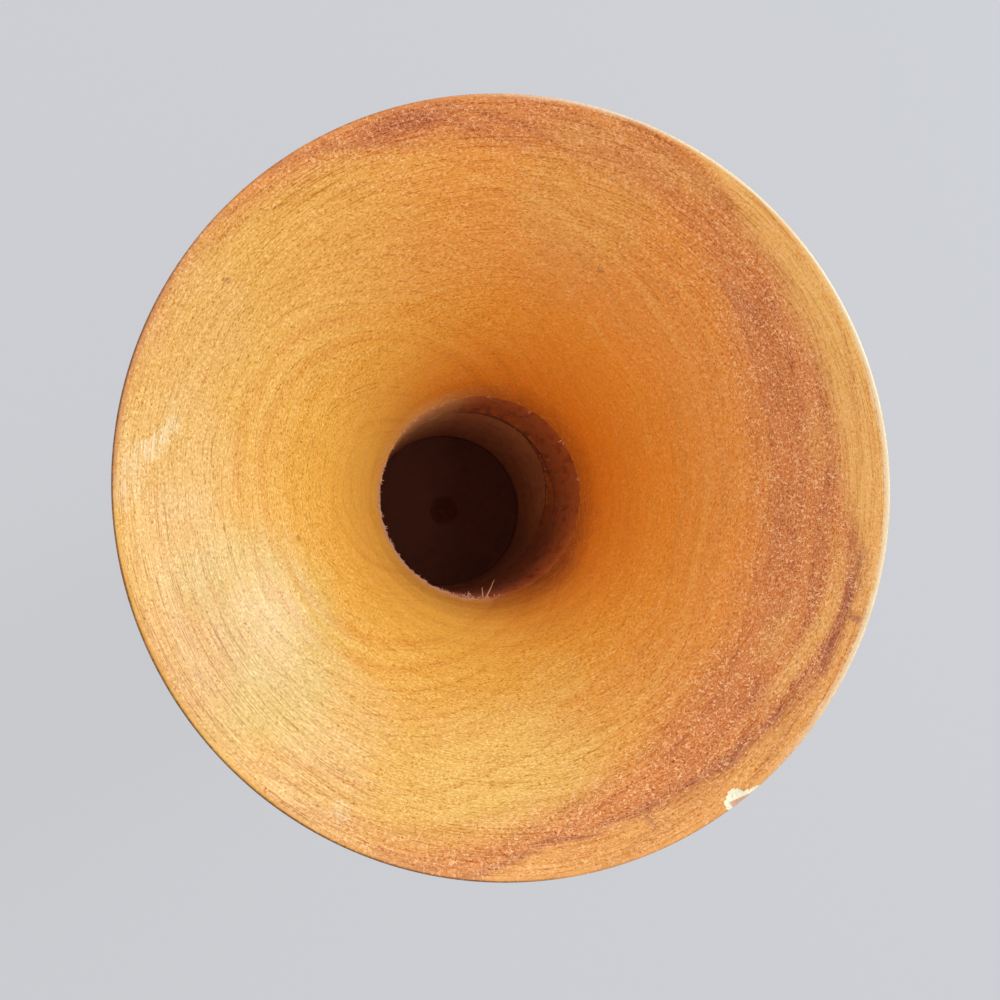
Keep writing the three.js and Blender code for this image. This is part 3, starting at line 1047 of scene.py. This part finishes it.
def throat_fibres():
    """Torn fibres along the edge of the throat, a tuft among them, and bits on the wall of the bore."""
    chance = np.random.default_rng(seed=21)
    points, faces = [], []

    def strand(root, lean, length, thick, curl=0.28):
        """A tapered strand that wanders off its lean by a curl."""
        path = root
        first = len(points)
        for i in range(strand_steps):
            t = i / (strand_steps - 1)
            lean = (lean + Vector(chance.normal(0, curl, 3))).normalized()
            wide = thick * (1 - 0.75 * t)
            one = lean.orthogonal().normalized()
            two = lean.cross(one)
            for k in range(strand_sides):
                a = 2 * math.pi * k / strand_sides
                points.append(path + (one * math.cos(a) + two * math.sin(a)) * wide)
            path = path + lean * (length / (strand_steps - 1))
        for i in range(strand_steps - 1):
            ring = first + i * strand_sides
            for k in range(strand_sides):
                low, beside = ring + k, ring + (k + 1) % strand_sides
                faces.append((low, beside, beside + strand_sides, low + strand_sides))
        last = first + (strand_steps - 1) * strand_sides
        faces.append([last + k for k in range(strand_sides)])
        faces.append([first + k for k in reversed(range(strand_sides))])

    def inward(azimuth, up):
        return -point_at(azimuth, 1, -up).normalized()

    edge = [(chance.uniform(*edge_span), 0.3, 0.8, 0.12) for _ in range(edge_fibres)]
    bits = [(azimuth + chance.normal(0, 2), 0.4, 1.0, 0.17) for azimuth in bit_azimuths for _ in range(2)]
    fringe = [(chance.uniform(*fringe_span), 0.3, 0.8, 0.15) for _ in range(fringe_fibres)]
    for azimuth, shortest, longest, thick in edge + bits + fringe:
        root = point_at(azimuth, bore_radius + 0.08 * mm, throat - chance.uniform(-0.1, 0.5) * mm)
        side = chance.normal(0, 0.5)
        lean = inward(azimuth + math.degrees(side), chance.uniform(-0.5, 0.6))
        strand(root, lean, chance.uniform(shortest, longest) * mm, thick * chance.uniform(0.6, 1.3) * mm)
    for _ in range(tuft_fibres):
        azimuth = chance.normal(tuft_azimuth, 6)
        root = point_at(azimuth, bore_radius + 0.1 * mm, throat + 0.2 * mm)
        strand(root, inward(azimuth, 0.3), chance.uniform(0.8, 2.2) * mm, 0.16 * mm, 0.7)
    for azimuth, heading, length in long_fibres:
        root = point_at(azimuth, bore_radius + 0.1 * mm, throat)
        strand(root, inward(heading, 0.3), length * mm, 0.19 * mm)
    for azimuth, depth in wall_fibres:
        root = point_at(azimuth + chance.normal(0, 1.5), bore_radius - 0.02 * mm, rim - depth * mm)
        strand(root, inward(azimuth, 0.4), chance.uniform(0.5, 1.1) * mm, 0.13 * mm)

    mesh = bpy.data.meshes.new("throat_fibres")
    mesh.from_pydata(points, [], faces)
    mesh.shade_smooth()
    mesh.materials.append(fibre_paint())
    vase_piece(mesh)


drilled_wood = bare_wood()
mouth_bell(drilled_wood)
body(drilled_wood)
foot(drilled_wood)
felt_pad()
throat_fibres()
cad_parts["foot_dowel"].material_slots[0].material = dowel_paint()


# Floor, light and camera

pale_grey = (0.60, 0.61, 0.64)
floor_reach = 6.0
floor_glow = 1.03
floor_glow_share = 0.8
sky_strength = 0.79
daylight = (0.89, 1.0, 1.1)
lamp_distance = 0.9


def floor_paint():
    """Matt pale grey. Part of its colour glows when seen, so that only a faint shadow shows on it."""
    paint = Paint("floor")
    grain = paint.noise(paint.place, 3 * mm)
    colour = paint.mix(grain, pale_grey, tuple(0.98 * c for c in pale_grey))
    paint.finish(Base_Color=colour, Roughness=0.9)
    glow = paint.add("Emission", {"Color": colour, "Strength": floor_glow})
    share = paint.product(paint.backdrop_share(), floor_glow_share)
    paint.show("Material Output", share, paint.shader.outputs[0], glow)
    return paint.material


def studio():
    mesh = bpy.data.meshes.new("floor")
    corners = [(-1, -1), (1, -1), (1, 1), (-1, 1)]
    mesh.from_pydata([(x * floor_reach, y * floor_reach, 0) for x, y in corners], [], [(0, 1, 2, 3)])
    mesh.materials.append(floor_paint())
    floor = added("floor", mesh)

    world = bpy.data.worlds.new("studio")
    bpy.context.scene.world = world
    world.use_nodes = True
    sky = Nodes(world.node_tree)
    light = sky.tree.nodes["Background"]
    sky.put(light.inputs["Color"], (1, 1, 1))
    sky.put(light.inputs["Strength"], sky_strength)
    seen = sky.add("Background", {"Color": pale_grey})
    sky.show("World Output", sky.backdrop_share(), light.outputs[0], seen)

    lamp("window", azimuth=31, elevation=42, size=(0.5, 0.6), watts=2.8)
    lamp("low_window", azimuth=25, elevation=15, size=(0.26, 0.18), watts=1.7)


def lamp(name, azimuth, elevation, size, watts):
    """A soft light that faces the mouth from a direction in degrees."""
    light = bpy.data.lights.new(name, "AREA")
    light.shape = "RECTANGLE"
    light.size, light.size_y = size
    light.energy = watts
    light.color = daylight
    piece = added(name, light)
    e = math.radians(elevation)
    out = point_at(azimuth, math.cos(e), math.sin(e))
    piece.location = mouth + out * lamp_distance
    piece.rotation_euler = out.to_track_quat("Z", "Y").to_euler()


def look():
    camera = added("camera", bpy.data.cameras.new("camera"))
    camera.data.lens = lens_length
    camera.data.sensor_width = sensor_width
    camera.data.clip_start = 1 * mm
    camera.location = mouth + eye_from_rim
    back = (eye_from_rim - aim_from_rim).normalized()
    right = Vector((0, 1, 0)).cross(back).normalized()
    camera.rotation_euler = Matrix((right, back.cross(right), back)).transposed().to_euler()
    bpy.context.scene.camera = camera
    bpy.context.scene.view_settings.view_transform = "Standard"


studio()
look()
